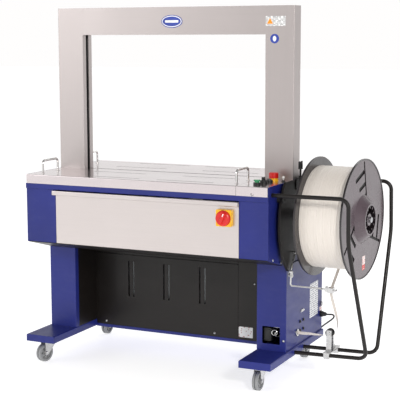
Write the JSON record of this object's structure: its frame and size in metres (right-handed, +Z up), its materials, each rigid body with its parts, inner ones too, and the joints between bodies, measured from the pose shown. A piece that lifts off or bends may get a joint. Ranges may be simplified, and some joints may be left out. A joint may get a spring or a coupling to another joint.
{
  "type": "semi automatic strapping machine",
  "caption": "Strapping machine with a steel arch over a split table, a blue housing on castors, a pull-down door and a strap reel held beside it.",
  "frame": {"origin": "middle of the machine's footprint at floor level, without the free mains cable", "axes": "+X along the table towards the reel, +Y from the operator's side to the back, +Z up"},
  "size_m": [1.44, 0.8725, 1.519],
  "materials": {
    "blue_paint": "glossy powder coat",
    "black_paint": "satin powder coat",
    "stainless": "brushed",
    "machined_steel": "machined",
    "zinc_plate": "bright zinc plate",
    "galvanised": "galvanised sheet",
    "chrome": "polished",
    "motor_paint": "satin",
    "yellow_plastic": "glossy",
    "red_plastic": "glossy",
    "green_plastic": "glossy",
    "black_plastic": "fine matte",
    "grey_plastic": "matte",
    "white_plastic": "glossy",
    "reel_plastic": "glossy moulded",
    "strap": "embossed polypropylene",
    "rubber": "matte",
    "cable_rubber": "smooth jacket",
    "wheel_tread": "grey rubber"
  },
  "bodies": {
    "root": {"feet": "blue_paint", "left_leg": "blue_paint", "right_leg": "blue_paint", "leg_inner_panels": "black_paint", "front_panel": "black_paint", "rear_panels": "blue_paint", "bottom_pan": "blue_paint", "castor_plates": "zinc_plate", "left_side_panel": "blue_paint", "right_side_panel": "blue_paint", "housing_front": "blue_paint", "housing_floor": "black_paint", "control_plate": "stainless", "control_bezels": "black_plastic", "estop_body": "yellow_plastic", "left_post": "stainless", "right_post": "stainless", "arch_beam": "stainless", "strap_track": "black_plastic", "sealing_head": "machined_steel", "drive_motor": "motor_paint", "accumulator_box": "galvanised", "back_plate": "black_paint", "reel_shaft": "machined_steel", "strap_run": "strap", "front_guard": "black_paint", "rear_guard": "black_paint", "roller_bracket": "zinc_plate", "plate_fittings": "zinc_plate", "side_fittings": "rubber", "screws": "machined_steel", "cable_gland": "black_plastic", "mains_cable": "cable_rubber", "cable_coil": "cable_rubber", "mains_plug": "cable_rubber"},
    "front_door": {"front_door": "stainless", "switch_plate": "yellow_plastic"},
    "switch_knob": {"switch_knob": "red_plastic"},
    "front_table": {"front_table": "stainless", "front_handles": "chrome"},
    "rear_table": {"rear_table": "stainless", "rear_handles": "chrome"},
    "start_button": {"start_button": "green_plastic"},
    "selector_knob": {"selector_knob": "black_plastic"},
    "reset_button": {"reset_button": "grey_plastic"},
    "toggle_lever": {"toggle_lever": "white_plastic"},
    "estop_button": {"estop_button": "red_plastic"},
    "reel": {"reel_flanges": "reel_plastic", "strap_winding": "strap"},
    "wing_knob": {"wing_knob": "black_plastic"},
    "dancer_arm": {"dancer_arm": "zinc_plate"},
    "guide_roller": {"guide_roller": "black_plastic"},
    "front_left_fork": {"front_left_fork": "zinc_plate"},
    "front_left_wheel": {"front_left_wheel": "wheel_tread"},
    "front_right_fork": {"front_right_fork": "zinc_plate"},
    "front_right_wheel": {"front_right_wheel": "wheel_tread"},
    "rear_left_fork": {"rear_left_fork": "zinc_plate"},
    "rear_left_wheel": {"rear_left_wheel": "wheel_tread"},
    "rear_right_fork": {"rear_right_fork": "zinc_plate"},
    "rear_right_wheel": {"rear_right_wheel": "wheel_tread"}
  },
  "joints": [
    {"name": "front_door_hinge", "type": "hinge", "parent": "root", "child": "front_door", "pos_m": [-0.146, -0.298, 0.541], "axis": [1, 0, 0], "range_deg": [0, 95]},
    {"name": "main_switch_turn", "type": "hinge", "parent": "front_door", "child": "switch_knob", "pos_m": [0.2125, -0.304, 0.697], "axis": [0, -1, 0], "range_deg": [0, 90]},
    {"name": "front_table_hinge", "type": "hinge", "parent": "root", "child": "front_table", "pos_m": [-0.222, -0.303, 0.7885], "axis": [1, 0, 0], "range_deg": [0, 95]},
    {"name": "rear_table_hinge", "type": "hinge", "parent": "root", "child": "rear_table", "pos_m": [-0.222, 0.315, 0.7885], "axis": [-1, 0, 0], "range_deg": [0, 95]},
    {"name": "start_button_press", "type": "slide", "parent": "root", "child": "start_button", "axis": [0, 0, -1], "range_m": [0, 0.004], "stiffness_N_per_m": 600, "springref_m": -0.001},
    {"name": "selector_turn", "type": "hinge", "parent": "root", "child": "selector_knob", "pos_m": [0.332, -0.199, 0.835], "axis": [0, 0, 1], "range_deg": [-45, 45]},
    {"name": "reset_button_press", "type": "slide", "parent": "root", "child": "reset_button", "axis": [0, 0, -1], "range_m": [0, 0.004], "stiffness_N_per_m": 600, "springref_m": -0.001},
    {"name": "toggle_tilt", "type": "hinge", "parent": "root", "child": "toggle_lever", "pos_m": [0.38, -0.108, 0.826], "axis": [1, 0, 0], "range_deg": [-12, 12]},
    {"name": "estop_press", "type": "slide", "parent": "root", "child": "estop_button", "axis": [0, 0, -1], "range_m": [0, 0.0045]},
    {"name": "reel_spin", "type": "hinge", "parent": "root", "child": "reel", "pos_m": [0.413, 0.006, 0.68], "axis": [0.9986, -0.0523, 0], "continuous": true},
    {"name": "wing_knob_turn", "type": "hinge", "parent": "root", "child": "wing_knob", "pos_m": [0.43, -0.049, 0.883], "axis": [0, 0, 1], "continuous": true},
    {"name": "dancer_swing", "type": "hinge", "parent": "root", "child": "dancer_arm", "pos_m": [0.424, -0.132, 0.454], "axis": [0.833, -0.5533, 0], "range_deg": [0, 10], "deforming": ["strap_run"]},
    {"name": "guide_roller_spin", "type": "hinge", "parent": "root", "child": "guide_roller", "pos_m": [0.544, 0.006, 0.202], "axis": [0, 1, 0], "continuous": true},
    {"name": "front_left_swivel", "type": "hinge", "parent": "root", "child": "front_left_fork", "pos_m": [-0.668, -0.207, 0.092], "axis": [0, 0, 1], "continuous": true},
    {"name": "front_left_roll", "type": "hinge", "parent": "front_left_fork", "child": "front_left_wheel", "pos_m": [-0.67525, -0.23405, 0.039], "axis": [0.9659, -0.2588, 0], "continuous": true},
    {"name": "front_right_swivel", "type": "hinge", "parent": "root", "child": "front_right_fork", "pos_m": [0.328, -0.207, 0.092], "axis": [0, 0, 1], "continuous": true},
    {"name": "front_right_roll", "type": "hinge", "parent": "front_right_fork", "child": "front_right_wheel", "pos_m": [0.328, -0.235, 0.039], "axis": [1, 0, 0], "continuous": true},
    {"name": "rear_left_swivel", "type": "hinge", "parent": "root", "child": "rear_left_fork", "pos_m": [-0.668, 0.272, 0.092], "axis": [0, 0, 1], "continuous": true},
    {"name": "rear_left_roll", "type": "hinge", "parent": "rear_left_fork", "child": "rear_left_wheel", "pos_m": [-0.668, 0.3, 0.039], "axis": [-1, 0, 0], "continuous": true},
    {"name": "rear_right_swivel", "type": "hinge", "parent": "root", "child": "rear_right_fork", "pos_m": [0.328, 0.272, 0.092], "axis": [0, 0, 1], "continuous": true},
    {"name": "rear_right_roll", "type": "hinge", "parent": "rear_right_fork", "child": "rear_right_wheel", "pos_m": [0.328, 0.3, 0.039], "axis": [-1, 0, 0], "continuous": true}
  ]
}
